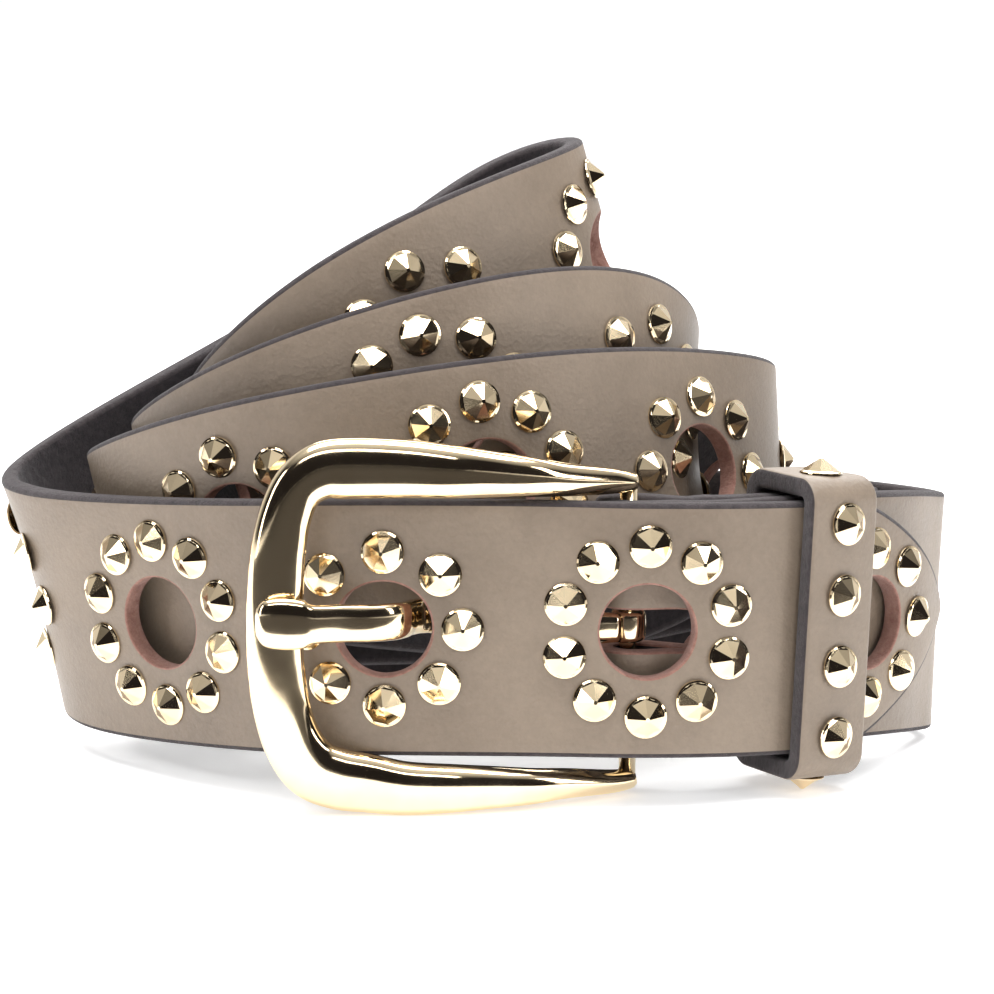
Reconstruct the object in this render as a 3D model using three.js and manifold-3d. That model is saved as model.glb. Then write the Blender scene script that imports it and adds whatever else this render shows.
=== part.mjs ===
// Studded leather belt, fastened and wound into four turns that stand on their lower edge.
// Millimetres, +Z up. The buckle faces -Y and the belt's end points to +X.

import * as THREE from 'three';
import { mergeVertices } from 'three/addons/utils/BufferGeometryUtils.js';
import Module from 'manifold-3d';

const wasm = await Module();
wasm.setup();

// Named sizes of the coil and the strap
const COIL_LENGTH = 140;
const COIL_DEPTH = 76;
const STRAP_WIDTH = 38;
const STRAP_THICKNESS = 3;
const TIP_LENGTH = 27;
const TIP_PAST_LAST_RING = 22;

// Named sizes of the ornament: rings of studs around punched holes
const RING_PITCH = 38.52;
const HOLE_DIAMETER = 14;
const STUD_DIAMETER = 6.4;
const STUD_HEIGHT = 2.3;
const FIXED_STUD_SIDES = 5;
const POST_WIDTH = 1.6;
const POST_DEPTH = 1.2;
const SMALL_RING = { studs: 8, radius: 11.4 };
const LARGE_RING = { studs: 10, radius: 12.7 };

// Named sizes of the buckle, the prong and the keeper
const FRAME_HEIGHT = 54.4;
const BAR_RADIUS = 1.3;
const BAR_X = 19.5;
const BAR_Y = 8.6;
const BAR_TO_HOLE = 36;
const FOLD_RADIUS = 3.4;
const SLOT_WIDTH = 6.4;
const PRONG_Z = 26.4;
const SLOT_REACH = 11;
const PRONG_CURL_RADIUS = 2.7;
const PRONG_CURL_WIDTH = 4.8;
const KEEPER_WIDTH = 12;
const KEEPER_THICKNESS = 3;
const KEEPER_BACK = 10.0;
const KEEPER_TO_RING = 10.2;
const KEEPER_STUD_PITCH = 10.7;

// Clearances between pieces
const GAP = 0.3;
const POST_GAP = 0.3;
const KEEPER_GAP = 0.6;
const KEEPER_EDGE_GAP = 0.8;

const SAMPLES_PER_SPAN = 12;
const MOST_TURN = THREE.MathUtils.degToRad(13);
const LONGEST_SECTION = 13;
const MOST_TURN_FRONT = THREE.MathUtils.degToRad(5);
const LONGEST_SECTION_FRONT = 8;

// The buckle end's fold around the hinge bar, from its cut end to the front layer.
// right and behind: distances from the hinge bar's middle, as shares of FOLD_RADIUS
const FOLD = [
  { right: 12.828, behind: 9.471, z: 0.6158, lean: 0.0 },
  { right: 10.973, behind: 6.318, z: 0.6342, lean: -0.1 },
  { right: 9.333, behind: 4.538, z: 0.6447, lean: 0.0 },
  { right: 7.217, behind: 2.534, z: 0.6605, lean: 0.0 },
  { right: 5.373, behind: 1.530, z: 0.6737, lean: 0.0 },
  { right: 3.767, behind: 0.604, z: 0.6808, lean: 0.0 },
  { right: 2.987, behind: 0.954, z: 0.6819, lean: -0.2 },
  { right: 2.758, behind: -0.095, z: 0.6827, lean: 0.0 },
  { right: 0.382, behind: 1.341, z: 0.6853, lean: 0.0 },
  { right: -1.504, behind: 0.400, z: 0.6868, lean: -0.1 },
  { right: -0.380, behind: -1.427, z: 0.6875, lean: -0.3 },
  { right: 1.966, behind: -0.517, z: 0.6834, lean: -0.1 },
  { right: 2.558, behind: -0.772, z: 0.6819, lean: -0.3 },
  { right: 2.430, behind: -0.642, z: 0.6823, lean: -0.2 },
];

// The strap's middle line from the buckle end to the tip, turn by turn.
// x: share of COIL_LENGTH, y: share of COIL_DEPTH, z: share of STRAP_WIDTH,
// lean: degrees that the strap's upper edge leans outwards
const ROUTE = [
  { x: 0.2337, y: 0.0919, z: 0.6786, lean: -0.7 },
  { x: 0.2685, y: 0.1244, z: 0.6763, lean: -0.4 },
  { x: 0.3137, y: 0.1680, z: 0.6711, lean: -0.6 },
  { x: 0.3583, y: 0.2359, z: 0.6579, lean: 0.0 },
  { x: 0.4130, y: 0.3316, z: 0.6316, lean: 1.0 },
  { x: 0.4514, y: 0.4383, z: 0.5947, lean: 1.3 },
  { x: 0.4757, y: 0.5366, z: 0.5553, lean: 1.5 },
  { x: 0.4910, y: 0.5937, z: 0.5341, lean: 1.1 },
  { x: 0.4907, y: 0.6295, z: 0.5270, lean: 3.4 },
  { x: 0.4769, y: 0.6992, z: 0.5156, lean: 5.3 },
  { x: 0.4141, y: 0.8070, z: 0.5115, lean: 6.7 },
  { x: 0.3026, y: 0.9143, z: 0.5099, lean: 11.5 },
  { x: 0.1558, y: 0.9884, z: 0.4957, lean: 16.3 },
  { x: 0.0344, y: 0.9643, z: 0.4990, lean: 13.9 },
  { x: -0.0855, y: 0.9072, z: 0.4986, lean: 10.9 },
  { x: -0.2459, y: 0.7844, z: 0.5010, lean: 6.6 },
  { x: -0.4182, y: 0.6413, z: 0.6530, lean: 5.9 },
  { x: -0.4359, y: 0.4528, z: 0.7568, lean: 9.6 },
  { x: -0.3076, y: 0.2184, z: 1.0073, lean: 1.3 },
  { x: -0.1120, y: 0.1098, z: 1.1780, lean: -6.0 },
  { x: 0.0835, y: 0.2154, z: 1.2500, lean: -8.9 },
  { x: 0.2536, y: 0.4612, z: 1.1810, lean: -16.5 },
  { x: 0.3479, y: 0.7282, z: 1.0359, lean: -4.5 },
  { x: 0.2454, y: 0.9309, z: 0.8275, lean: 20.7 },
  { x: 0.0458, y: 0.9057, z: 0.6831, lean: 24.0 },
  { x: -0.1910, y: 0.7197, z: 0.7458, lean: 20.1 },
  { x: -0.3423, y: 0.5839, z: 0.8101, lean: 22.4 },
  { x: -0.3614, y: 0.4261, z: 0.9211, lean: 17.8 },
  { x: -0.2590, y: 0.2538, z: 1.2217, lean: -6.0 },
  { x: -0.0288, y: 0.2217, z: 1.5293, lean: -8.2 },
  { x: 0.1980, y: 0.5049, z: 1.5632, lean: -17.0 },
  { x: 0.2453, y: 0.8092, z: 1.0180, lean: 1.8 },
  { x: 0.0979, y: 0.8495, z: 0.6840, lean: 26.8 },
  { x: -0.1107, y: 0.6936, z: 0.8153, lean: 23.0 },
  { x: -0.2833, y: 0.6066, z: 0.9394, lean: 20.6 },
  { x: -0.2813, y: 0.4072, z: 1.0914, lean: 14.4 },
  { x: -0.1477, y: 0.3072, z: 1.6237, lean: -10.4 },
  { x: 0.0440, y: 0.4844, z: 1.9173, lean: -14.4 },
  { x: 0.1581, y: 0.7511, z: 2.0148, lean: -12.1 },
  { x: 0.0508, y: 0.9449, z: 1.9975, lean: -28.4 },
  { x: -0.1714, y: 0.9273, z: 1.4102, lean: -27.6 },
  { x: -0.3894, y: 0.8136, z: 0.9258, lean: -1.6 },
  { x: -0.5303, y: 0.6195, z: 0.6322, lean: 19.7 },
  { x: -0.4918, y: 0.4131, z: 0.5978, lean: 6.2 },
  { x: -0.2705, y: 0.1084, z: 0.6734, lean: 0.9 },
  { x: -0.1618, y: -0.0176, z: 0.7259, lean: -1.7 },
  { x: 0.0256, y: 0.0109, z: 0.7094, lean: -2.6 },
  { x: 0.1052, y: 0.0130, z: 0.7021, lean: -2.3 },
  { x: 0.1323, y: 0.0124, z: 0.6999, lean: -1.8 },
  { x: 0.2236, y: 0.0311, z: 0.6907, lean: -1.7 },
  { x: 0.3037, y: 0.0929, z: 0.6726, lean: -0.8 },
  { x: 0.3583, y: 0.1652, z: 0.6547, lean: -0.9 },
  { x: 0.4212, y: 0.2824, z: 0.6313, lean: 0.4 },
  { x: 0.4628, y: 0.3688, z: 0.6153, lean: 1.7 },
  { x: 0.4906, y: 0.4863, z: 0.5995, lean: 1.8 },
  { x: 0.5212, y: 0.6068, z: 0.5821, lean: 0.3 },
];

const UP = new THREE.Vector3(0, 0, 1);

function splineWeights(t) {
  const s = 1 - t;
  return [
    (s * s * s) / 6,
    (3 * t * t * t - 6 * t * t + 4) / 6,
    (-3 * t * t * t + 3 * t * t + 3 * t + 1) / 6,
    (t * t * t) / 6,
  ];
}

function routePoints() {
  const points = FOLD.map((row) => ({
    p: new THREE.Vector3(
      BAR_X + row.right * FOLD_RADIUS,
      BAR_Y + row.behind * FOLD_RADIUS,
      row.z * STRAP_WIDTH,
    ),
    lean: row.lean,
  }));
  for (const row of ROUTE) {
    points.push({
      p: new THREE.Vector3(row.x * COIL_LENGTH, row.y * COIL_DEPTH, row.z * STRAP_WIDTH),
      lean: row.lean,
    });
  }
  return points;
}

function sampleRoute() {
  const points = routePoints();
  const samples = [];
  for (let i = 0; i + 3 < points.length; i += 1) {
    const last = i + 4 === points.length;
    const count = last ? SAMPLES_PER_SPAN + 1 : SAMPLES_PER_SPAN;
    for (let k = 0; k < count; k += 1) {
      const weights = splineWeights(k / SAMPLES_PER_SPAN);
      const p = new THREE.Vector3();
      let lean = 0;
      weights.forEach((weight, j) => {
        p.addScaledVector(points[i + j].p, weight);
        lean += weight * points[i + j].lean;
      });
      samples.push({ p, lean: THREE.MathUtils.degToRad(lean) });
    }
  }
  let along = 0;
  samples.forEach((sample, i) => {
    if (i > 0) {
      along += sample.p.distanceTo(samples[i - 1].p);
    }
    sample.s = along;
    const before = samples[Math.max(i - 1, 0)].p;
    const after = samples[Math.min(i + 1, samples.length - 1)].p;
    const t = after.clone().sub(before).normalize();
    const up = UP.clone().addScaledVector(t, -UP.dot(t)).normalize();
    const side = t.clone().cross(up);
    const cos = Math.cos(sample.lean);
    const sin = Math.sin(sample.lean);
    sample.t = t;
    sample.w = up.clone().multiplyScalar(cos).addScaledVector(side, sin);
    sample.n = t.clone().cross(sample.w);
  });
  return samples;
}

const ROUTE_SAMPLES = sampleRoute();
const ROUTE_END = ROUTE_SAMPLES[ROUTE_SAMPLES.length - 1].s;

// Frame of the strap at a distance along its middle line
function frameAt(s) {
  let low = 0;
  let high = ROUTE_SAMPLES.length - 1;
  while (high - low > 1) {
    const mid = (low + high) >> 1;
    if (ROUTE_SAMPLES[mid].s > s) {
      high = mid;
    } else {
      low = mid;
    }
  }
  const a = ROUTE_SAMPLES[low];
  const b = ROUTE_SAMPLES[high];
  const f = (s - a.s) / (b.s - a.s);
  const p = a.p.clone().lerp(b.p, f);
  const t = a.t.clone().lerp(b.t, f).normalize();
  const w = a.w.clone().lerp(b.w, f);
  w.addScaledVector(t, -w.dot(t)).normalize();
  return { p, t, w, n: t.clone().cross(w) };
}

// Point at s along the strap, h towards its upper edge, o outwards from its middle surface
function place(s, h, o) {
  const f = frameAt(s);
  return f.p.addScaledVector(f.w, h).addScaledVector(f.n, o);
}

// How far the curved surface rises under a flat disc at s
function lift(s, radius) {
  const turned = frameAt(s - radius).t.angleTo(frameAt(s + radius).t);
  return (turned * radius) / 4;
}

function toManifold(positions, triangles) {
  let volume = 0;
  for (const [a, b, c] of triangles) {
    volume += positions[a].dot(positions[b].clone().cross(positions[c]));
  }
  const flat = triangles.flatMap(([a, b, c]) => (volume < 0 ? [a, c, b] : [a, b, c]));
  return new wasm.Manifold(new wasm.Mesh({
    numProp: 3,
    vertProperties: new Float32Array(positions.flatMap((p) => [p.x, p.y, p.z])),
    triVerts: new Uint32Array(flat),
  }));
}

// Solid through a row of closed outlines that have the same number of points
function loft(outlines) {
  const count = outlines[0].length;
  const positions = outlines.flat();
  const triangles = [];
  for (let i = 0; i + 1 < outlines.length; i += 1) {
    for (let k = 0; k < count; k += 1) {
      const a = i * count + k;
      const b = i * count + ((k + 1) % count);
      triangles.push([a, b, b + count], [a, b + count, a + count]);
    }
  }
  const end = (outlines.length - 1) * count;
  for (let k = 1; k + 1 < count; k += 1) {
    triangles.push([0, k + 1, k], [end, end + k, end + k + 1]);
  }
  return toManifold(positions, triangles);
}

// Piece of band that follows the strap: rows of { s, half } between two distances outwards
function band(rows, inner, outer) {
  return loft(rows.map(({ s, half }) => [
    place(s, half, outer),
    place(s, -half, outer),
    place(s, -half, inner),
    place(s, half, inner),
  ]));
}

// Outline of a polygon around a point, in the plane of two directions
function polygon(centre, across, up, width, height, sides, turn = 0.5) {
  const points = [];
  for (let k = 0; k < sides; k += 1) {
    const angle = ((k + turn) / sides) * Math.PI * 2;
    points.push(centre.clone()
      .addScaledVector(across, width * Math.cos(angle))
      .addScaledVector(up, height * Math.sin(angle)));
  }
  return points;
}

// Stations of the rings, counted from the tip. The prong sits in FASTENED_RING.
const FASTENED_RING = 2;
const RING_COUNT = 25;
const FRONT_RINGS = 4;

function fastenedStation() {
  let best = ROUTE_END;
  let nearest = Infinity;
  for (const sample of ROUTE_SAMPLES) {
    const off = Math.abs(sample.p.x - (BAR_X - BAR_TO_HOLE));
    if (sample.s > ROUTE_END - 3.6 * RING_PITCH && off < nearest) {
      nearest = off;
      best = sample.s;
    }
  }
  return best;
}

const FASTENED_AT = fastenedStation();
const STRAP_END = FASTENED_AT + FASTENED_RING * RING_PITCH + TIP_PAST_LAST_RING;

function ringStation(index) {
  return FASTENED_AT + (FASTENED_RING - index) * RING_PITCH;
}

function keeperStation() {
  return ringStation(0) - KEEPER_TO_RING;
}

// Studs of a ring as places on the strap; the ones under the keeper are left out
function ringStuds(index) {
  const ring = index % 2 === 0 ? SMALL_RING : LARGE_RING;
  const covered = (KEEPER_WIDTH + STUD_DIAMETER) / 2 + GAP;
  const studs = [];
  for (let k = 0; k < ring.studs; k += 1) {
    const angle = Math.PI / 2 + (k / ring.studs) * Math.PI * 2;
    const s = ringStation(index) + ring.radius * Math.cos(angle);
    if (Math.abs(s - keeperStation()) > covered) {
      studs.push({ s, h: ring.radius * Math.sin(angle) });
    }
  }
  return studs;
}

function tipHalfWidth(fromEnd) {
  if (fromEnd >= TIP_LENGTH) {
    return STRAP_WIDTH / 2;
  }
  const share = 1 - (1 - fromEnd / TIP_LENGTH) ** 1.35;
  return (STRAP_WIDTH / 2) * Math.max(share ** 0.74, 0.02);
}

function strapRows() {
  const rows = [];
  let last = null;
  for (const sample of ROUTE_SAMPLES) {
    const turned = last ? sample.t.angleTo(last.t) + sample.w.angleTo(last.w) : Infinity;
    const moved = last ? sample.s - last.s : Infinity;
    const front = sample.s > ringStation(FRONT_RINGS);
    const mostTurn = front ? MOST_TURN_FRONT : MOST_TURN;
    const longest = front ? LONGEST_SECTION_FRONT : LONGEST_SECTION;
    if (sample.s < STRAP_END - TIP_LENGTH - 2 && (turned > mostTurn || moved > longest)) {
      rows.push({ s: sample.s, half: STRAP_WIDTH / 2 });
      last = sample;
    }
  }
  for (const share of [1, 0.82, 0.64, 0.48, 0.34, 0.22, 0.12, 0.05, 0.012, 0]) {
    const fromEnd = share * TIP_LENGTH;
    rows.push({ s: STRAP_END - fromEnd, half: tipHalfWidth(fromEnd) });
  }
  return rows;
}

function holeCutter(index) {
  const station = ringStation(index);
  const reach = STRAP_THICKNESS / 2 + (index < 2 ? 0.5 : 1.3);
  const rows = [];
  for (let k = 0; k < 8; k += 1) {
    const angle = Math.PI - ((k + 0.5) / 8) * Math.PI;
    rows.push({
      s: station + (HOLE_DIAMETER / 2) * Math.cos(angle),
      half: (HOLE_DIAMETER / 2) * Math.sin(angle),
    });
  }
  return band(rows, -reach, reach);
}

// Slot that the prong's curl stands in, through both sides of the fold
function slotCutter() {
  const around = FOLD_RADIUS + STRAP_THICKNESS / 2 + GAP;
  const plan = [];
  const steps = 8;
  for (let k = 0; k <= steps; k += 1) {
    const angle = Math.PI / 2 + (k / steps) * Math.PI;
    plan.push({
      x: BAR_X + around * Math.cos(angle),
      y: BAR_Y + around * Math.sin(angle),
    });
  }
  const end = BAR_X + SLOT_REACH;
  plan.push({ x: end, y: BAR_Y - FOLD_RADIUS - 0.35 });
  plan.push({ x: end, y: BAR_Y + FOLD_RADIUS + 0.9 });
  const outline = (z) => plan.map(({ x, y }) => new THREE.Vector3(x, y, z));
  return loft([outline(PRONG_Z - SLOT_WIDTH / 2), outline(PRONG_Z + SLOT_WIDTH / 2)]);
}

// Stud that is one with the strap: a faceted cone set into its surface
function fixedStud(s, h) {
  const f = frameAt(s);
  const sunk = 0.6;
  const radius = (STUD_DIAMETER / 2) * ((STUD_HEIGHT + sunk) / STUD_HEIGHT);
  const middle = f.p.addScaledVector(f.w, h);
  const base = middle.clone().addScaledVector(f.n, STRAP_THICKNESS / 2 - sunk);
  const apex = middle.clone().addScaledVector(f.n, STRAP_THICKNESS / 2 + STUD_HEIGHT);
  const rim = polygon(base, f.t, f.w, radius, radius, FIXED_STUD_SIDES);
  const positions = [apex, ...rim];
  const triangles = [];
  for (let k = 0; k < FIXED_STUD_SIDES; k += 1) {
    triangles.push([0, 1 + k, 1 + ((k + 1) % FIXED_STUD_SIDES)]);
  }
  for (let k = 1; k < FIXED_STUD_SIDES - 1; k += 1) {
    triangles.push([1, 2 + k, 1 + k]);
  }
  return toManifold(positions, triangles);
}

function post(middle, f, width, from, to) {
  const half = width / Math.SQRT2;
  return loft([from, to].map((o) => polygon(
    middle.clone().addScaledVector(f.n, o), f.t, f.w, half, half, 4,
  )));
}

// Loose stud: faceted head and a square post that goes into the leather
function looseStud(middle, f, surface, depth) {
  const radius = STUD_DIAMETER / 2;
  const at = (o) => middle.clone().addScaledVector(f.n, o);
  const rim = polygon(at(surface + GAP), f.t, f.w, radius, radius, 8);
  const positions = [at(surface + GAP + STUD_HEIGHT), ...rim];
  const triangles = [];
  for (let k = 0; k < 8; k += 1) {
    triangles.push([0, 1 + k, 1 + ((k + 1) % 8)]);
  }
  for (let k = 1; k < 7; k += 1) {
    triangles.push([1, 2 + k, 1 + k]);
  }
  const head = toManifold(positions, triangles);
  return head.add(post(middle, f, POST_WIDTH, surface - depth, surface + GAP + 0.2));
}

function postHole(middle, f, surface, depth) {
  return post(middle, f, POST_WIDTH + 2 * POST_GAP, surface - depth, surface + 0.8);
}

// Outline of the keeper loop around the layers, grown by a distance all round
function keeperOutline(station, ds, grow, sides) {
  const top = STRAP_WIDTH / 2 + KEEPER_EDGE_GAP + grow;
  const front = STRAP_THICKNESS / 2 + KEEPER_GAP + grow;
  const back = -KEEPER_BACK - grow;
  const corner = grow > 0 ? 3.6 : 1.2;
  const points = [];
  const corners = [[1, 1], [-1, 1], [-1, -1], [1, -1]];
  corners.forEach(([sideH, sideO], index) => {
    for (let k = 0; k < sides; k += 1) {
      const angle = (index + (k + 0.5) / sides) * (Math.PI / 2);
      const h = sideH * (top - corner);
      const o = sideO > 0 ? front - corner : back + corner;
      points.push(place(
        station + ds,
        h + corner * Math.cos(angle),
        o + corner * Math.sin(angle),
      ));
    }
  });
  return points;
}

function keeperStudPlaces() {
  const station = keeperStation();
  const f = frameAt(station);
  const front = STRAP_THICKNESS / 2 + KEEPER_GAP;
  const middleO = (front - KEEPER_BACK) / 2;
  const places = [];
  for (const k of [1.5, 0.5, -0.5, -1.5]) {
    places.push({
      middle: f.p.clone().addScaledVector(f.w, k * KEEPER_STUD_PITCH),
      f,
      surface: front + KEEPER_THICKNESS,
    });
  }
  for (const side of [1, -1]) {
    const turned = { t: f.t, w: f.n.clone().multiplyScalar(-side), n: f.w.clone().multiplyScalar(side) };
    places.push({
      middle: f.p.clone().addScaledVector(f.n, middleO + 2.6),
      f: turned,
      surface: STRAP_WIDTH / 2 + KEEPER_EDGE_GAP + KEEPER_THICKNESS,
    });
  }
  return places;
}

// The buckle frame's upper half, from the middle of its left bar to the arm's end.
// x: mm from the hinge bar, z: share of half the frame's height to the section's middle,
// y: mm behind the coil's front, wide and deep: mm across the section
const FRAME_HALF = [
  { x: -51.0, z: 0.0, y: -3.6, wide: 8.2, deep: 4.6 },
  { x: -50.9, z: 0.2, y: -3.6, wide: 8.1, deep: 4.6 },
  { x: -50.2, z: 0.42, y: -3.5, wide: 7.8, deep: 4.6 },
  { x: -49.0, z: 0.6, y: -3.4, wide: 7.4, deep: 4.6 },
  { x: -46.6, z: 0.745, y: -3.3, wide: 7.4, deep: 4.6 },
  { x: -42.6, z: 0.828, y: -3.2, wide: 7.8, deep: 4.6 },
  { x: -37.0, z: 0.853, y: -3.1, wide: 7.8, deep: 4.6 },
  { x: -29.0, z: 0.862, y: -2.8, wide: 7.2, deep: 4.6 },
  { x: -20.0, z: 0.868, y: -0.6, wide: 6.2, deep: 4.6 },
  { x: -10.0, z: 0.858, y: 3.4, wide: 5.0, deep: 4.6 },
  { x: -3.0, z: 0.845, y: 7.0, wide: 4.1, deep: 4.4 },
  { x: 1.2, z: 0.84, y: 8.8, wide: 3.8, deep: 4.0 },
  { x: 2.2, z: 0.84, y: 9.1, wide: 2.2, deep: 2.4 },
];

// Half-round section, domed to the front: across and forward as shares of its half sizes
const FRAME_SECTION = [
  { across: 1, forward: -0.1 },
  { across: 0.86, forward: 0.5 },
  { across: 0.48, forward: 0.87 },
  { across: 0, forward: 1 },
  { across: -0.48, forward: 0.87 },
  { across: -0.86, forward: 0.5 },
  { across: -1, forward: -0.1 },
  { across: -0.84, forward: -0.72 },
  { across: 0, forward: -0.9 },
  { across: 0.84, forward: -0.72 },
];

function buckleFrame() {
  const middleZ = FRAME_HEIGHT / 2;
  const upper = FRAME_HALF.map((row) => ({ ...row, z: middleZ + row.z * middleZ }));
  const lower = FRAME_HALF.slice(1).reverse().map((row) => ({
    ...row,
    z: middleZ - row.z * middleZ,
  }));
  const rows = [...lower, ...upper];
  const outlines = rows.map((row, i) => {
    const before = rows[Math.max(i - 1, 0)];
    const after = rows[Math.min(i + 1, rows.length - 1)];
    const t = new THREE.Vector3(after.x - before.x, after.y - before.y, after.z - before.z);
    t.normalize();
    const forward = new THREE.Vector3(0, -1, 0);
    const across = t.clone().cross(forward).normalize();
    const front = across.clone().cross(t).normalize();
    const centre = new THREE.Vector3(BAR_X + row.x, row.y, row.z);
    return FRAME_SECTION.map((p) => centre.clone()
      .addScaledVector(across, (p.across * row.wide) / 2)
      .addScaledVector(front, (p.forward * row.deep) / 2));
  });
  const across = new THREE.Vector3(1, 0, 0);
  const deep = new THREE.Vector3(0, 1, 0);
  const reach = 0.83 * middleZ;
  const bar = loft([-reach, reach].map((z) => polygon(
    new THREE.Vector3(BAR_X, BAR_Y, middleZ + z), across, deep, BAR_RADIUS, BAR_RADIUS, 12,
  )));
  return loft(outlines).add(bar);
}

// The prong from its curl to its rounded end on the left bar.
// x: mm from the hinge bar, y: mm behind the coil's front, high and deep: mm
const PRONG = [
  { x: -1.3, y: 6.5, high: 4.4, deep: 2.0 },
  { x: -8.0, y: 5.3, high: 5.0, deep: 2.4 },
  { x: -26.5, y: 5.0, high: 5.2, deep: 2.4 },
  { x: -30.4, y: 4.0, high: 5.3, deep: 2.4 },
  { x: -34.5, y: 1.6, high: 5.4, deep: 2.4 },
  { x: -38.6, y: -2.2, high: 5.5, deep: 2.4 },
  { x: -42.5, y: -5.4, high: 5.6, deep: 2.4 },
  { x: -46.2, y: -7.2, high: 5.8, deep: 2.5 },
  { x: -47.4, y: -7.5, high: 7.2, deep: 2.7 },
  { x: -50.0, y: -7.6, high: 7.6, deep: 2.7 },
  { x: -52.4, y: -7.3, high: 6.8, deep: 2.5 },
  { x: -53.6, y: -6.9, high: 4.2, deep: 1.4 },
];

function prong() {
  const z = PRONG_Z;
  const up = new THREE.Vector3(0, 0, 1);
  const outlines = PRONG.map((row, i) => {
    const before = PRONG[Math.max(i - 1, 0)];
    const after = PRONG[Math.min(i + 1, PRONG.length - 1)];
    const t = new THREE.Vector3(after.x - before.x, after.y - before.y, 0).normalize();
    const across = t.clone().cross(up);
    const centre = new THREE.Vector3(BAR_X + row.x, row.y, z);
    return polygon(centre, across, up, row.deep * 0.541, row.high * 0.541, 8);
  });
  const x = new THREE.Vector3(1, 0, 0);
  const y = new THREE.Vector3(0, 1, 0);
  const tube = (radius, width) => loft([-width / 2, width / 2].map((dz) => polygon(
    new THREE.Vector3(BAR_X, BAR_Y, z + dz), x, y, radius, radius, 14,
  )));
  return loft(outlines)
    .add(tube(PRONG_CURL_RADIUS, PRONG_CURL_WIDTH))
    .subtract(tube(BAR_RADIUS + GAP, PRONG_CURL_WIDTH * 2));
}

const LEATHER = { color: 0x9c8d7e, roughness: 0.5, metalness: 0 };
const DARK_LEATHER = { color: 0x8f8172, roughness: 0.55, metalness: 0 };
const PALE_GOLD = { color: 0xd9bd84, roughness: 0.18, metalness: 1 };

const group = new THREE.Group();
group.name = 'studded_belt';

function addPiece(name, solid, finish) {
  const mesh = solid.getMesh();
  const geometry = new THREE.BufferGeometry();
  geometry.setAttribute('position', new THREE.BufferAttribute(
    new Float32Array(mesh.vertProperties), 3,
  ));
  geometry.setIndex(new THREE.BufferAttribute(new Uint32Array(mesh.triVerts), 1));
  geometry.deleteAttribute('normal');
  geometry.deleteAttribute('uv');
  const merged = mergeVertices(geometry, 1e-4);
  merged.computeVertexNormals();
  const piece = new THREE.Mesh(merged, new THREE.MeshStandardMaterial(finish));
  piece.name = name;
  group.add(piece);
}

// Strap: band, holes and slot cut through, and the studs that are one with it
let strap = band(strapRows(), -STRAP_THICKNESS / 2, STRAP_THICKNESS / 2);
const firstStation = 150;
for (let index = 0; index < RING_COUNT; index += 1) {
  if (ringStation(index) > firstStation) {
    strap = strap.subtract(holeCutter(index));
  }
}
strap = strap.subtract(slotCutter());
for (let index = 0; index < RING_COUNT; index += 1) {
  if (ringStation(index) > firstStation) {
    ringStuds(index).forEach(({ s, h }, k) => {
      if (index >= FRONT_RINGS) {
        strap = strap.add(fixedStud(s, h));
        return;
      }
      const f = frameAt(s);
      const middle = f.p.clone().addScaledVector(f.w, h);
      strap = strap.subtract(postHole(middle, f, STRAP_THICKNESS / 2, POST_DEPTH + GAP));
      const name = `stud_ring${index + 1}_${String(k + 1).padStart(2, '0')}`;
      const surface = STRAP_THICKNESS / 2 + 1.6 * lift(s, STUD_DIAMETER / 2) + 0.05;
      addPiece(name, looseStud(middle, f, surface, POST_DEPTH), PALE_GOLD);
    });
  }
}
addPiece('strap', strap, LEATHER);

// Keeper loop with its six studs
const station = keeperStation();
const spans = [-0.5, -0.17, 0.17, 0.5].map((share) => share * KEEPER_WIDTH);
const cuts = [-0.6, -0.17, 0.17, 0.6].map((share) => share * KEEPER_WIDTH);
let keeper = loft(spans.map((ds) => keeperOutline(station, ds, KEEPER_THICKNESS, 4)));
keeper = keeper.subtract(loft(cuts.map((ds) => keeperOutline(station, ds, 0, 2))));
keeperStudPlaces().forEach(({ middle, f, surface }, k) => {
  keeper = keeper.subtract(postHole(middle, f, surface, POST_DEPTH + GAP));
  addPiece(`stud_keeper_${k + 1}`, looseStud(middle, f, surface, POST_DEPTH), PALE_GOLD);
});
addPiece('keeper_loop', keeper, DARK_LEATHER);

addPiece('buckle_frame', buckleFrame(), PALE_GOLD);
addPiece('prong', prong(), PALE_GOLD);

// The origin is the middle of the belt's outer box, on the floor
const outerBox = new THREE.Box3().setFromObject(group);
const middle = outerBox.getCenter(new THREE.Vector3());
for (const piece of group.children) {
  piece.geometry.translate(-middle.x, -middle.y, -outerBox.min.z);
}

export default group;
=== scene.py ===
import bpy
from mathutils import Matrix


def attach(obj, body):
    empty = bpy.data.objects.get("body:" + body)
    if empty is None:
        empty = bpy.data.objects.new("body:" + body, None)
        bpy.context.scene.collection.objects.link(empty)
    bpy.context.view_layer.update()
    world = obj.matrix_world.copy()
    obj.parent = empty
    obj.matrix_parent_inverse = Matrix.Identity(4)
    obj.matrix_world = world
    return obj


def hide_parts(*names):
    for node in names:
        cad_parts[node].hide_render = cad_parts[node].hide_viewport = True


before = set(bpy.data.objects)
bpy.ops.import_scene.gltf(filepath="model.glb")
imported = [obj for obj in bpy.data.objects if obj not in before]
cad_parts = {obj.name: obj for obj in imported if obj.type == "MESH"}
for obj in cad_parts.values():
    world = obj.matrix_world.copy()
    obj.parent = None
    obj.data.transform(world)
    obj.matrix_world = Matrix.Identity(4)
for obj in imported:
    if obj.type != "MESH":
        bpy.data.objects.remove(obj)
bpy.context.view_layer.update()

import math

import bmesh
import bpy
import numpy as np
from mathutils import Vector
from mathutils.geometry import delaunay_2d_cdt

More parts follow.
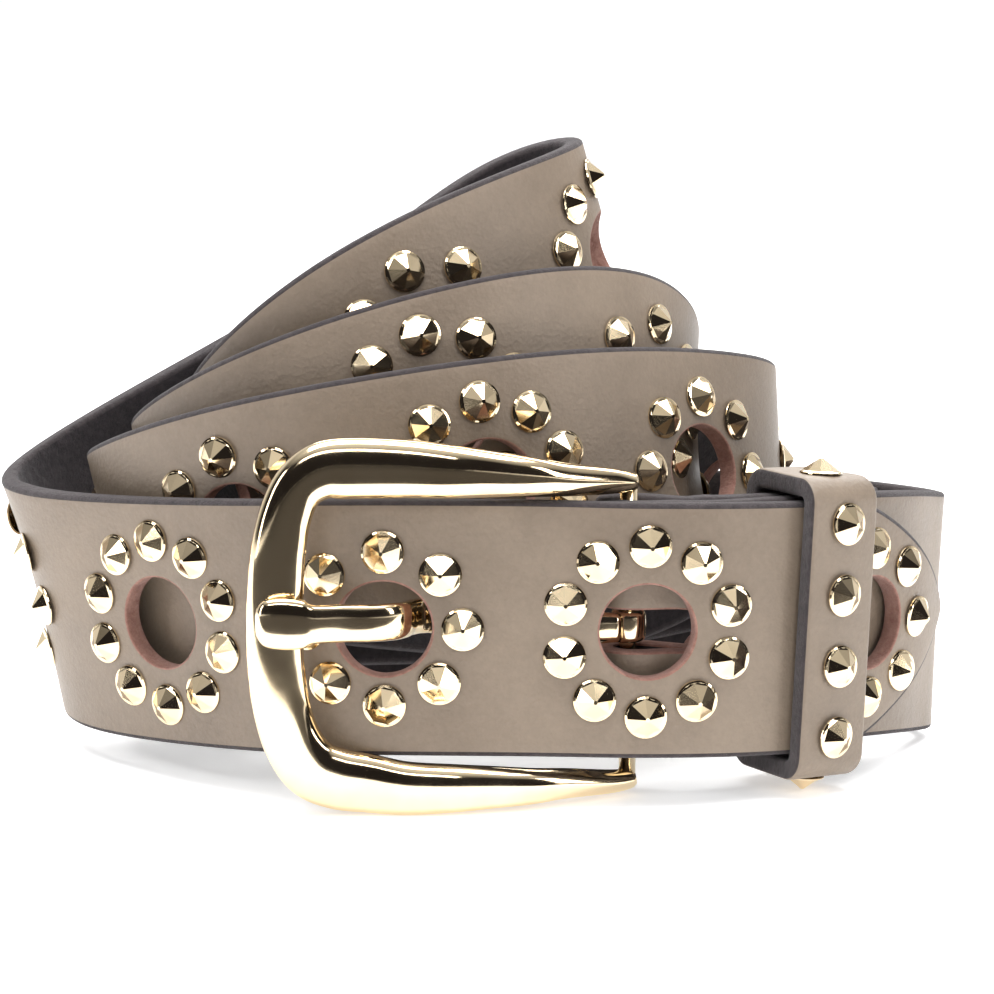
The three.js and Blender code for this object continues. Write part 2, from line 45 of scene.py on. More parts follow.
# Sizes in millimetres, the same as the CAD source's. Only the prong and its slot sit 0.6 mm lower here.
COIL_LENGTH, COIL_DEPTH = 140.0, 76.0
STRAP_WIDTH, STRAP_THICKNESS = 38.0, 3.0
TIP_LENGTH, TIP_PAST_LAST_RING = 27.0, 22.0
RING_PITCH, HOLE_RADIUS = 38.52, 7.0
STUD_RADIUS, STUD_HEIGHT = 3.2, 2.3
RINGS = ((8, 11.4), (10, 12.7))
STRAP_MIDDLE_Z = 0.708 * STRAP_WIDTH
BAR_RADIUS, BAR_X, BAR_Y, BAR_TO_HOLE = 1.3, 19.5, 8.6, 36.0
FOLD_RADIUS, SLOT_WIDTH, PRONG_Z, SLOT_REACH = 3.4, 6.4, 25.8, 11.0
CURL_RADIUS, CURL_WIDTH = 2.7, 4.8
KEEPER_WIDTH, KEEPER_THICKNESS, KEEPER_BACK = 12.0, 3.0, 10.0
KEEPER_TO_RING, KEEPER_STUD_PITCH = 10.2, 10.7
GAP, KEEPER_GAP, KEEPER_EDGE_GAP = 0.3, 0.6, 0.8
# From the source's own axes to the row frame
SHIFT = np.array([3.5465, -35.8987, 0.2426])
MM_PER_METRE = 1000
# How far a stud's seat stands off the leather, so that the two surfaces don't share a plane
STUD_LIFT = 0.05
# The photo's side in pixels and the camera's sensor in millimetres
PHOTO_SIZE, SENSOR_WIDTH = 994, 36.0

# The fold around the hinge bar: right, behind, z, lean
FOLD = np.array([
    (12.828, 9.471, 0.6158, 0.0), (10.973, 6.318, 0.6342, -0.1),
    (9.333, 4.538, 0.6447, 0.0), (7.217, 2.534, 0.6605, 0.0),
    (5.373, 1.530, 0.6737, 0.0), (3.767, 0.604, 0.6808, 0.0),
    (2.987, 0.954, 0.6819, -0.2), (2.758, -0.095, 0.6827, 0.0),
    (0.382, 1.341, 0.6853, 0.0), (-1.504, 0.400, 0.6868, -0.1),
    (-0.380, -1.427, 0.6875, -0.3), (1.966, -0.517, 0.6834, -0.1),
    (2.558, -0.772, 0.6819, -0.3), (2.430, -0.642, 0.6823, -0.2),
])
# The strap's middle line from the buckle end to the tip: x, y, z, lean
ROUTE = np.array([
    (0.2337, 0.0919, 0.6786, -0.7), (0.2685, 0.1244, 0.6763, -0.4),
    (0.3137, 0.1680, 0.6711, -0.6), (0.3583, 0.2359, 0.6579, 0.0),
    (0.4130, 0.3316, 0.6316, 1.0), (0.4514, 0.4383, 0.5947, 1.3),
    (0.4757, 0.5366, 0.5553, 1.5), (0.4910, 0.5937, 0.5341, 1.1),
    (0.4907, 0.6295, 0.5270, 3.4), (0.4769, 0.6992, 0.5156, 5.3),
    (0.4141, 0.8070, 0.5115, 6.7), (0.3026, 0.9143, 0.5099, 11.5),
    (0.1558, 0.9884, 0.4957, 16.3), (0.0344, 0.9643, 0.4990, 13.9),
    (-0.0855, 0.9072, 0.4986, 10.9), (-0.2459, 0.7844, 0.5010, 6.6),
    (-0.4182, 0.6413, 0.6530, 5.9), (-0.4359, 0.4528, 0.7568, 9.6),
    (-0.3076, 0.2184, 1.0073, 1.3), (-0.1120, 0.1098, 1.1780, -6.0),
    (0.0835, 0.2154, 1.2500, -8.9), (0.2536, 0.4612, 1.1810, -16.5),
    (0.3479, 0.7282, 1.0359, -4.5), (0.2454, 0.9309, 0.8275, 20.7),
    (0.0458, 0.9057, 0.6831, 24.0), (-0.1910, 0.7197, 0.7458, 20.1),
    (-0.3423, 0.5839, 0.8101, 22.4), (-0.3614, 0.4261, 0.9211, 17.8),
    (-0.2590, 0.2538, 1.2217, -6.0), (-0.0288, 0.2217, 1.5293, -8.2),
    (0.1980, 0.5049, 1.5632, -17.0), (0.2453, 0.8092, 1.0180, 1.8),
    (0.0979, 0.8495, 0.6840, 26.8), (-0.1107, 0.6936, 0.8153, 23.0),
    (-0.2833, 0.6066, 0.9394, 20.6), (-0.2813, 0.4072, 1.0914, 14.4),
    (-0.1477, 0.3072, 1.6237, -10.4), (0.0440, 0.4844, 1.9173, -14.4),
    (0.1581, 0.7511, 2.0148, -12.1), (0.0508, 0.9449, 1.9975, -28.4),
    (-0.1714, 0.9273, 1.4102, -27.6), (-0.3894, 0.8136, 0.9258, -1.6),
    (-0.5303, 0.6195, 0.6322, 19.7), (-0.4918, 0.4131, 0.5978, 6.2),
    (-0.2705, 0.1084, 0.6734, 0.9), (-0.1618, -0.0176, 0.7259, -1.7),
    (0.0256, 0.0109, 0.7094, -2.6), (0.1052, 0.0130, 0.7021, -2.3),
    (0.1323, 0.0124, 0.6999, -1.8), (0.2236, 0.0311, 0.6907, -1.7),
    (0.3037, 0.0929, 0.6726, -0.8), (0.3583, 0.1652, 0.6547, -0.9),
    (0.4212, 0.2824, 0.6313, 0.4), (0.4628, 0.3688, 0.6153, 1.7),
    (0.4906, 0.4863, 0.5995, 1.8), (0.5212, 0.6068, 0.5821, 0.3),
])
# The buckle frame from its lower arm's end to its upper one: x, y, edge, past, wide, deep.
# Edge is a share of half the strap's width, and past is how far the row lies beyond it.
FRAME_ROWS = np.array([
    (1.2, 9.1, -1, -5.7, 2.2, 2.4),
    (0.2, 8.8, -1, -5.8, 2.9, 4.0),
    (-3.0, 6.6, -1, -5.7, 3.5, 4.4),
    (-9.6, 2.8, -1, -5.0, 4.5, 4.6),
    (-14.4, 0.4, -1, -4.8, 5.4, 4.6),
    (-20.0, -1.4, -1, -4.5, 6.3, 4.6),
    (-26.0, -2.8, -1, -4.3, 7.2, 4.6),
    (-33.0, -3.1, -1, -4.2, 8.0, 4.6),
    (-38.5, -3.2, -1, -3.4, 8.8, 4.6),
    (-43.0, -3.3, -1, -2.7, 9.2, 4.6),
    (-46.6, -3.4, -1, -1.1, 9.2, 4.6),
    (-49.2, -3.5, -0.87, 0.0, 8.8, 4.6),
    (-50.9, -3.6, -0.6, 0.0, 8.5, 4.6),
    (-51.7, -3.6, -0.28, 0.0, 8.4, 4.6),
    (-51.9, -3.6, 0.03, 0.0, 8.4, 4.6),
    (-51.7, -3.6, 0.35, 0.0, 8.3, 4.6),
    (-51.2, -3.6, 0.66, 0.0, 8.0, 4.6),
    (-50.2, -3.5, 0.92, 0.0, 7.7, 4.6),
    (-48.3, -3.4, 1, 2.7, 7.6, 4.6),
    (-45.0, -3.3, 1, 5.1, 8.4, 4.6),
    (-41.0, -3.2, 1, 5.5, 9.0, 4.6),
    (-33.0, -3.1, 1, 5.4, 8.6, 4.6),
    (-26.0, -2.8, 1, 4.9, 7.8, 4.6),
    (-20.0, -1.4, 1, 4.3, 6.8, 4.6),
    (-14.4, 0.4, 1, 3.6, 5.8, 4.6),
    (-9.6, 2.8, 1, 2.8, 4.9, 4.6),
    (-3.0, 6.6, 1, 2.0, 3.9, 4.4),
    (0.2, 8.8, 1, 1.5, 2.8, 4.0),
    (1.2, 9.1, 1, 1.5, 2.2, 2.4),
])
# The prong: x, y, rise, high, deep
PRONG = np.array([
    (-1.3, 6.5, 0.0, 4.4, 2.0),
    (-8.0, 5.3, 0.4, 5.0, 2.4),
    (-27.0, 4.9, 2.0, 5.2, 2.4),
    (-30.4, 4.2, 2.3, 5.2, 2.4),
    (-32.1, 2.0, 2.5, 5.3, 2.4),
    (-33.1, -0.6, 2.7, 5.4, 2.4),
    (-34.6, -2.8, 2.9, 5.5, 2.4),
    (-37.4, -4.3, 3.0, 5.5, 2.4),
    (-42.0, -5.5, 3.2, 5.6, 2.4),
    (-46.2, -7.2, 3.4, 5.8, 2.5),
    (-47.6, -7.5, 3.5, 7.2, 2.7),
    (-50.4, -7.6, 3.6, 7.6, 2.7),
    (-53.0, -7.3, 3.6, 6.8, 2.5),
    (-54.2, -6.9, 3.6, 4.2, 1.4),
])

HALF_T = STRAP_THICKNESS / 2


def unit(v):
    return v / np.linalg.norm(v, axis=-1, keepdims=True)


def route():
    rows = np.vstack([
        np.column_stack([
            BAR_X + FOLD[:, 0] * FOLD_RADIUS, BAR_Y + FOLD[:, 1] * FOLD_RADIUS,
            FOLD[:, 2] * STRAP_WIDTH, FOLD[:, 3]]),
        ROUTE * [COIL_LENGTH, COIL_DEPTH, STRAP_WIDTH, 1.0]])
    t = np.linspace(0, 1, 40, endpoint=False)
    basis = np.stack([(1 - t) ** 3, 3 * t ** 3 - 6 * t ** 2 + 4,
                      -3 * t ** 3 + 3 * t ** 2 + 3 * t + 1, t ** 3], axis=1) / 6
    line = np.vstack([basis @ rows[i:i + 4] for i in range(len(rows) - 3)])
    line = np.vstack([line, np.array([0, 1, 4, 1]) @ rows[-4:] / 6])
    p, lean = line[:, :3], np.radians(line[:, 3])[:, None]
    s = np.r_[0, np.cumsum(np.linalg.norm(np.diff(p, axis=0), axis=1))]
    tangent = unit(np.gradient(p, s, axis=0))
    up = np.array([0, 0, 1.0])
    up = unit(up - tangent * tangent[:, 2:3])
    side = np.cross(tangent, up)
    w = up * np.cos(lean) + side * np.sin(lean)
    return s, p, tangent, w


LINE_S, LINE_P, LINE_T, LINE_W = route()


def along(values, s):
    return np.stack([np.interp(s, LINE_S, values[:, k]) for k in range(3)], axis=-1)


def frame_at(s):
    p, t = along(LINE_P, s), unit(along(LINE_T, s))
    w = along(LINE_W, s)
    w = unit(w - t * (w * t).sum(-1, keepdims=True))
    return p, t, w, np.cross(t, w)


def place(s, h, o):
    p, _, w, n = frame_at(np.asarray(s, float))
    return p + w * np.asarray(h, float)[..., None] + n * np.asarray(o, float)[..., None]


near_end = LINE_S > LINE_S[-1] - 3.6 * RING_PITCH
FASTENED_AT = LINE_S[np.argmin(np.where(near_end, abs(LINE_P[:, 0] - (BAR_X - BAR_TO_HOLE)), 1e9))]
STRAP_END = FASTENED_AT + 2 * RING_PITCH + TIP_PAST_LAST_RING
KEEPER_AT = FASTENED_AT + 2 * RING_PITCH - KEEPER_TO_RING
BAR_AT = LINE_S[np.argmin(np.where(LINE_S < 90, LINE_P[:, 0], 1e9))]


def ring_at(index):
    return FASTENED_AT + (2 - index) * RING_PITCH


RING_STATIONS = [i for i in range(25) if ring_at(i) > 150]


def tip_half(from_end):
    share = 1 - (1 - np.clip(from_end / TIP_LENGTH, 0, 1)) ** 1.35
    return STRAP_WIDTH / 2 * share ** 0.74


def new_object(name, points, faces, materials, indices=None, smooth=True):
    mesh = bpy.data.meshes.new(name)
    points = (np.asarray(points, float) + SHIFT) / MM_PER_METRE
    mesh.from_pydata(points.tolist(), [], [list(map(int, f)) for f in faces])
    for m in materials:
        mesh.materials.append(m)
    if indices is not None:
        mesh.polygons.foreach_set("material_index", np.asarray(indices, np.int32))
    mesh.polygons.foreach_set("use_smooth", np.full(len(mesh.polygons), smooth))
    mesh.update()
    obj = bpy.data.objects.new(name, mesh)
    bpy.context.scene.collection.objects.link(obj)
    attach(obj, "root")
    return obj


# Materials
def node_material(name):
    m = bpy.data.materials.new(name)
    m.use_nodes = True
    nodes = m.node_tree.nodes
    nodes.clear()
    out = nodes.new("ShaderNodeOutputMaterial")
    shader = nodes.new("ShaderNodeBsdfPrincipled")
    m.node_tree.links.new(shader.outputs[0], out.inputs[0])
    return m, nodes, m.node_tree.links, shader


def noise(nodes, links, coordinates, scale, detail=4.0, roughness=0.6):
    made = nodes.new("ShaderNodeTexNoise")
    made.inputs["Scale"].default_value = scale
    made.inputs["Detail"].default_value = detail
    made.inputs["Roughness"].default_value = roughness
    links.new(coordinates, made.inputs["Vector"])
    return made


def ramp(nodes, links, value, stops):
    made = nodes.new("ShaderNodeValToRGB")
    elements = made.color_ramp.elements
    while len(elements) < len(stops):
        elements.new(0.5)
    for element, (position, colour) in zip(elements, stops):
        element.position = position
        element.color = (*colour, 1)
    links.new(value, made.inputs[0])
    return made


def span(nodes, links, value, low, high, to_low, to_high):
    made = nodes.new("ShaderNodeMapRange")
    for key, number in zip(("From Min", "From Max", "To Min", "To Max"), (low, high, to_low, to_high)):
        made.inputs[key].default_value = number
    links.new(value, made.inputs["Value"])
    return made.outputs[0]


def bump(nodes, links, height, strength, distance, normal=None):
    made = nodes.new("ShaderNodeBump")
    made.inputs["Strength"].default_value = strength
    made.inputs["Distance"].default_value = distance
    links.new(height, made.inputs["Height"])
    if normal is not None:
        links.new(normal, made.inputs["Normal"])
    return made.outputs[0]


def grain_leather(name, dark, light):
    m, nodes, links, shader = node_material(name)
    coordinates = nodes.new("ShaderNodeTexCoord").outputs["Object"]
    broad = noise(nodes, links, coordinates, 34.0, 3.0)
    fine = noise(nodes, links, coordinates, 900.0, 3.0, 0.7)
    mixed = nodes.new("ShaderNodeMath")
    mixed.operation = "MULTIPLY_ADD"
    links.new(fine.outputs[0], mixed.inputs[0])
    mixed.inputs[1].default_value = 0.35
    links.new(broad.outputs[0], mixed.inputs[2])
    colour = ramp(nodes, links, mixed.outputs[0], [(0.42, dark), (0.92, light)])
    links.new(colour.outputs[0], shader.inputs["Base Color"])
    pores = nodes.new("ShaderNodeTexVoronoi")
    pores.inputs["Scale"].default_value = 1500.0
    links.new(coordinates, pores.inputs["Vector"])
    creases = noise(nodes, links, coordinates, 1400.0, 5.0, 0.75)
    soft = noise(nodes, links, coordinates, 160.0, 3.0, 0.5)
    normal = bump(nodes, links, pores.outputs["Distance"], 0.35, 0.00014)
    normal = bump(nodes, links, creases.outputs[0], 0.45, 0.00022, normal)
    normal = bump(nodes, links, soft.outputs[0], 0.4, 0.0006, normal)
    links.new(normal, shader.inputs["Normal"])
    links.new(span(nodes, links, broad.outputs[0], 0.3, 0.7, 0.40, 0.52), shader.inputs["Roughness"])
    shader.inputs["Specular IOR Level"].default_value = 0.5
    shader.inputs["Coat Weight"].default_value = 0.12
    shader.inputs["Coat Roughness"].default_value = 0.35
    return m


def flesh_leather(name, dark, light):
    m, nodes, links, shader = node_material(name)
    coordinates = nodes.new("ShaderNodeTexCoord").outputs["Object"]
    fibres = noise(nodes, links, coordinates, 700.0, 6.0, 0.8)
    colour = ramp(nodes, links, fibres.outputs[0], [(0.35, dark), (0.75, light)])
    links.new(colour.outputs[0], shader.inputs["Base Color"])
    links.new(bump(nodes, links, fibres.outputs[0], 0.8, 0.0006), shader.inputs["Normal"])
    shader.inputs["Roughness"].default_value = 0.92
    shader.inputs["Sheen Weight"].default_value = 0.15
    return m


def gold_metal(name):
    m, nodes, links, shader = node_material(name)
    coordinates = nodes.new("ShaderNodeTexCoord").outputs["Object"]
    broad = noise(nodes, links, coordinates, 90.0, 3.0)
    fine = noise(nodes, links, coordinates, 2500.0, 2.0)
    stops = [(0.3, (0.80, 0.635, 0.405)), (0.7, (0.88, 0.725, 0.49))]
    colour = ramp(nodes, links, broad.outputs[0], stops)
    links.new(colour.outputs[0], shader.inputs["Base Color"])
    shader.inputs["Metallic"].default_value = 1.0
    links.new(span(nodes, links, broad.outputs[0], 0.3, 0.7, 0.06, 0.13), shader.inputs["Roughness"])
    links.new(bump(nodes, links, fine.outputs[0], 0.03, 0.00005), shader.inputs["Normal"])
    return m


GRAIN = grain_leather("leather_grain", (0.155, 0.116, 0.083), (0.245, 0.190, 0.140))
KEEPER_GRAIN = grain_leather("keeper_leather_grain", (0.15, 0.112, 0.080), (0.235, 0.182, 0.134))
FLESH = flesh_leather("leather_flesh", (0.012, 0.009, 0.011), (0.045, 0.034, 0.038))
EDGE = flesh_leather("leather_edge", (0.022, 0.016, 0.018), (0.06, 0.046, 0.048))
RAW = flesh_leather("leather_raw_cut", (0.22, 0.10, 0.075), (0.42, 0.23, 0.18))
GOLD = gold_metal("pale_gold_metal")


# Strap
def wall_profile(bevel):
    """Steps over a wall from the front to the back: distance out of the leather, and offset."""
    steps = [(bevel * math.sin(a), HALF_T - bevel * (1 - math.cos(a))) for a in (0.52, 1.05, 1.57)]
    return steps + [(bevel, 0.0)] + [(d, -o) for d, o in reversed(steps)]


def loop_normals(loop):
    before, after = np.roll(loop, 1, axis=0), np.roll(loop, -1, axis=0)
    d = unit(after - before)
    return np.stack([d[:, 1], -d[:, 0]], axis=1)


def slot_loop(bevel):
    """Rounded slot around the hinge bar, in strap coordinates."""
    inner = LINE_S[np.argmin(np.where(LINE_S < BAR_AT, abs(LINE_P[:, 0] - BAR_X - SLOT_REACH), 1e9))]
    outer = LINE_S[np.argmin(np.where((LINE_S > BAR_AT) & (LINE_S < 100),
                                      abs(LINE_P[:, 0] - BAR_X - SLOT_REACH), 1e9))]
    middle_h = PRONG_Z - np.interp(BAR_AT, LINE_S, LINE_P[:, 2])
    r = SLOT_WIDTH / 2 + bevel
    right = outer - SLOT_WIDTH / 2 + np.array([r * math.sin(a) for a in np.linspace(0, math.pi, 13)])
    right_h = middle_h + np.array([r * math.cos(a) for a in np.linspace(0, math.pi, 13)])
    left = inner + SLOT_WIDTH / 2 - np.array([r * math.sin(a) for a in np.linspace(0, math.pi, 13)])
    left_h = middle_h - np.array([r * math.cos(a) for a in np.linspace(0, math.pi, 13)])
    count = int((right[0] - left[0]) / 0.7)
    x = np.linspace(left[0], right[0], count)[1:-1]
    top = np.column_stack([x, np.full(len(x), middle_h + r)])
    bottom = np.column_stack([x[::-1], np.full(len(x), middle_h - r)])
    # clockwise, so that the normals point into the void
    return np.vstack([top, np.column_stack([right, right_h]), bottom, np.column_stack([left, left_h])])


def strap_mesh():
    edge_bevel, hole_bevel = 0.75, 0.3
    column_step, step_at_bar, longest_side = 1.35, 0.55, 5
    edge_kind, hole_kind = 2, 3
    columns = [0.0]
    while columns[-1] < STRAP_END - 1.0:
        near_bar = abs(columns[-1] - BAR_AT) < 12
        columns.append(columns[-1] + (step_at_bar if near_bar else column_step))
    columns = np.array(columns[:-1])
    straight = columns < STRAP_END - TIP_LENGTH - 0.7
    x = columns[straight]
    side = STRAP_WIDTH / 2 - edge_bevel
    tip_s, tip_h = [], []
    for angle in np.linspace(0, math.pi, 81):
        u = math.sin(angle)
        from_end = TIP_LENGTH * (1 - u)
        tip_s.append(STRAP_END - from_end)
        tip_h.append(float(tip_half(from_end)) * (1 if angle < math.pi / 2 else -1))
    tip = np.column_stack([tip_s, tip_h])
    # even spread over the tip's outline
    d = np.linalg.norm(np.diff(tip, axis=0), axis=1)
    arc = np.r_[0, np.cumsum(d)]
    even = np.linspace(0, arc[-1], 75)
    tip = np.column_stack([np.interp(even, arc, tip[:, k]) for k in range(2)])
    n = unit(np.gradient(tip, axis=0))
    n = np.stack([-n[:, 1], n[:, 0]], axis=1)
    tip = tip - n * edge_bevel
    end = np.column_stack([np.zeros(19), np.linspace(-side, side, 19)])
    outline = np.vstack([
        end, np.column_stack([x[1:], np.full(len(x) - 1, side)]), tip,
        np.column_stack([x[1:][::-1], np.full(len(x) - 1, -side)])])
    loops = [(outline, edge_bevel, edge_kind)]
    angles = -np.linspace(0, 2 * math.pi, 56, endpoint=False)
    extra, centres = [], []
    for index in RING_STATIONS:
        c = ring_at(index)
        centres.append((c, HOLE_RADIUS + 1.75))
        for radius, count in ((HOLE_RADIUS + 0.75, 56), (HOLE_RADIUS + 1.5, 44)):
            a = np.linspace(0, 2 * math.pi, count, endpoint=False)
            extra.append(np.column_stack([c + radius * np.cos(a), radius * np.sin(a)]))
        r = HOLE_RADIUS + hole_bevel
        circle = np.column_stack([c + r * np.cos(angles), r * np.sin(angles)])
        loops.append((circle, hole_bevel, hole_kind))
    slot = slot_loop(hole_bevel)
    loops.append((slot, hole_bevel, hole_kind))
    rows = np.linspace(-side, side, 29)[1:-1]
    grid = np.stack(np.meshgrid(columns[1:], rows), axis=-1).reshape(-1, 2)
    limit = np.minimum(side, tip_half(STRAP_END - grid[:, 0]) - edge_bevel - 0.35)
    limit = np.where(grid[:, 0] < STRAP_END - TIP_LENGTH, side, limit)
    keep = (abs(grid[:, 1]) < limit - 0.5)
    for c, r in centres:
        keep &= np.hypot(grid[:, 0] - c, grid[:, 1]) > r
    lo, hi = slot.min(axis=0) - 0.45, slot.max(axis=0) + 0.45
    keep &= ~((grid > lo) & (grid < hi)).all(axis=1)
    keep &= grid[:, 0] < STRAP_END - 1.6
    points = [loop for loop, _, _ in loops] + extra + [grid[keep]]
    edges, starts, total = [], [], 0
    for loop, _, _ in loops:
        starts.append(total)
        edges += [(total + i, total + (i + 1) % len(loop)) for i in range(len(loop))]
        total += len(loop)
    flat = np.vstack(points)
    made = delaunay_2d_cdt([tuple(p) for p in flat.tolist()], edges, [], 0, 1e-6, False)
    flat = np.array([tuple(v) for v in made[0]])
    faces = np.array(made[2])
    middle = flat[faces].mean(axis=1)
    keep = np.ones(len(faces), bool)
    for c, _ in centres:
        keep &= np.hypot(middle[:, 0] - c, middle[:, 1]) > HOLE_RADIUS + hole_bevel - 0.03
    inside = ((middle > slot.min(axis=0)) & (middle < slot.max(axis=0))).all(axis=1)
    centre_h = slot[:, 1].mean()
    r = SLOT_WIDTH / 2 + hole_bevel
    before, after = slot[:, 0].min() + r - middle[:, 0], middle[:, 0] - slot[:, 0].max() + r
    dx = np.maximum(np.maximum(before, after), 0)
    inside &= np.hypot(dx, middle[:, 1] - centre_h) < r - 0.01
    keep &= ~inside
    faces = faces[keep]
    a, b, c = (flat[faces[:, k]] for k in range(3))
    area = np.cross(b - a, c - a)
    faces[area < 0] = faces[area < 0][:, ::-1]
    longest = np.max([np.linalg.norm(b - a, axis=1), np.linalg.norm(c - b, axis=1),
                      np.linalg.norm(a - c, axis=1)], axis=0)
    # flat triangles along the outline would join far parts of the coil
    faces = faces[(abs(area) > 1e-7) & (longest < longest_side)]
    count = len(flat)
    front = place(flat[:, 0], flat[:, 1], np.full(count, HALF_T))
    back = place(flat[:, 0], flat[:, 1], np.full(count, -HALF_T))
    all_points = [front, back]
    all_faces = [faces, faces[:, ::-1] + count]
    index = [np.zeros(len(faces), int), np.ones(len(faces), int)]
    base = 2 * count
    quads, quad_index = [], []
    for (loop, bevel, kind), start in zip(loops, starts):
        size = len(loop)
        ids = start + np.arange(size)
        normals = loop_normals(loop)
        area = np.sum(loop[:, 0] * np.roll(loop[:, 1], -1) - np.roll(loop[:, 0], -1) * loop[:, 1])
        # outward from the material: away from the middle on the outline, into the void in a hole
        if kind == edge_kind:
            normals = normals if area > 0 else -normals
        else:
            normals = -normals if area > 0 else normals
        levels = [ids]
        for depth, o in wall_profile(bevel):
            moved = loop + normals * depth
            all_points.append(place(moved[:, 0], moved[:, 1], np.full(size, o)))
            levels.append(base + np.arange(size))
            base += size
        levels.append(ids + count)
        for top, low in zip(levels[:-1], levels[1:]):
            quad = np.stack([top, np.roll(top, -1), np.roll(low, -1), low], axis=1)
            if (kind == edge_kind) == (area > 0):
                quad = quad[:, ::-1]
            quads.append(quad)
            quad_index.append(np.full(size, kind))
    faces_out = [f for block in all_faces for f in block] + [f for block in quads for f in block]
    index_out = np.concatenate(index + quad_index)
    return np.vstack(all_points), faces_out, index_out


points, faces, index = strap_mesh()
strap = new_object("strap_leather", points, faces, [GRAIN, FLESH, EDGE, RAW], index)


# Studs
def stud_shape(turn):
    """Faceted head: eight facets over a thin rim. Points are across, up, out."""
    points, faces = [], []
    levels = ((STUD_RADIUS * 0.93, 0.0), (STUD_RADIUS, 0.12),
              (STUD_RADIUS * 0.985, 0.30), (STUD_RADIUS * 0.90, 0.42))
    crown, table = STUD_RADIUS * 0.86, STUD_RADIUS * 0.10
    round_count = 32
    for radius, height in levels:
        for k in range(round_count):
            a = (k / round_count) * 2 * math.pi + turn
            points.append((radius * math.cos(a), radius * math.sin(a), height))
    for level in range(len(levels) - 1):
        for k in range(round_count):
            a, b = level * round_count + k, level * round_count + (k + 1) % round_count
            faces.append((a, b, b + round_count, a + round_count))
    last = (len(levels) - 1) * round_count
    crown_start = len(points)
    for k in range(8):
        a = (k / 8) * 2 * math.pi + turn
        points.append((crown * math.cos(a), crown * math.sin(a), 0.52))
    top_start = len(points)
    for k in range(8):
        a = (k / 8) * 2 * math.pi + turn
        points.append((table * math.cos(a), table * math.sin(a), STUD_HEIGHT - 0.06))
    for k in range(8):
        a, b = crown_start + k, crown_start + (k + 1) % 8
        faces.append((a, b, top_start + (k + 1) % 8, top_start + k))
        ring = [last + (k * 4 + j) % round_count for j in range(5)]
        faces.append((*ring, b, a))
    faces.append(tuple(top_start + k for k in range(8)))
    return np.array(points), faces


def studs_object(name, places):
    points, faces = [], []
    for number, (centre, across, up, out) in enumerate(places):
        random = np.random.default_rng(1000 + number)
        shape, shape_faces = stud_shape(random.uniform(0, math.pi / 4))
        tilt = random.normal(0, 0.035, 2)
        out = unit(out + across * tilt[0] + up * tilt[1])
        across = unit(across - out * np.dot(across, out))
        up = np.cross(out, across)
        start = sum(len(p) for p in points)
        points.append(centre + shape[:, :1] * across + shape[:, 1:2] * up + shape[:, 2:] * out)
        faces += [tuple(start + i for i in f) for f in shape_faces]
    return new_object(name, np.vstack(points), faces, [GOLD], smooth=False)


def ring_places(index):
    count, radius = RINGS[index % 2]
    covered = (KEEPER_WIDTH + 2 * STUD_RADIUS) / 2 + GAP
    found = []
    for k in range(count):
        angle = math.pi / 2 + k / count * 2 * math.pi
        s = ring_at(index) + radius * math.cos(angle)
        if abs(s - KEEPER_AT) > covered:
            p, t, w, n = frame_at(s)
            found.append((p + w * radius * math.sin(angle) + n * (HALF_T + STUD_LIFT), t, w, n))
    return found


front_studs = [spot for i in range(4) for spot in ring_places(i)]
back_studs = [spot for i in RING_STATIONS if i >= 4 for spot in ring_places(i)]
studs_front = studs_object("studs_front", front_studs)
studs_object("studs_coil", back_studs)


def rivet_backs():
    """Clenched post ends on the strap's inner side, a small dished ring each."""
    points, faces = [], []
    profile = [(1.9, -0.02), (1.95, 0.16), (1.6, 0.30), (1.15, 0.24), (0.95, 0.02)]
    count = 16
    for index in RING_STATIONS:
        if index < 2:
            continue
        for centre, t, w, n in ring_places(index):
            base = centre - n * (STRAP_THICKNESS + STUD_LIFT)
            start = len(points)
            for r, o in profile:
                for k in range(count):
                    a = k / count * 2 * math.pi
                    points.append(base + t * r * math.cos(a) + w * r * math.sin(a) - n * o)
            for level in range(len(profile) - 1):
                for k in range(count):
                    a = start + level * count + k
                    b = start + level * count + (k + 1) % count
                    faces.append((a, a + count, b + count, b))
            faces.append(tuple(start + (len(profile) - 1) * count + k for k in range(count))[::-1])
    return new_object("rivet_backs", np.array(points), faces, [GOLD])


backs = rivet_backs()


# Buckle, prong and keeper
def smooth_rows(rows, steps):
    """Rows through a Catmull-Rom curve."""
    padded = np.vstack([2 * rows[0] - rows[1], rows, 2 * rows[-1] - rows[-2]])
    out = []
    for i in range(1, len(padded) - 2):
        a, b, c, d = padded[i - 1:i + 3]
        for t in np.linspace(0, 1, steps, endpoint=False):
            out.append(0.5 * (2 * b + (c - a) * t + (2 * a - 5 * b + 4 * c - d) * t * t
                              + (3 * b - 3 * c + d - a) * t ** 3))
    out.append(rows[-1])
    return np.array(out)


def loft_faces(sections, count, closed=False, caps=True):
    faces = []
    for i in range(sections if closed else sections - 1):
        for k in range(count):
            a, b = i * count + k, i * count + (k + 1) % count
            j = ((i + 1) % sections) * count
            faces.append((a, b, j + (k + 1) % count, j + k))
    if caps and not closed:
        faces.append(tuple(range(count))[::-1])
        end = (sections - 1) * count
        faces.append(tuple(end + k for k in range(count)))
    return faces


def outward(obj):
    b = bmesh.new()
    b.from_mesh(obj.data)
    bmesh.ops.recalc_face_normals(b, faces=b.faces)
    b.to_mesh(obj.data)
    b.free()


def bar_points(x, y, z0, z1, radius, count=32):
    a = np.linspace(0, 2 * math.pi, count, endpoint=False)
    ring = np.column_stack([x + radius * np.cos(a), y + radius * np.sin(a)])
    return np.vstack([np.column_stack([ring, np.full(count, z)]) for z in (z0, z1)])


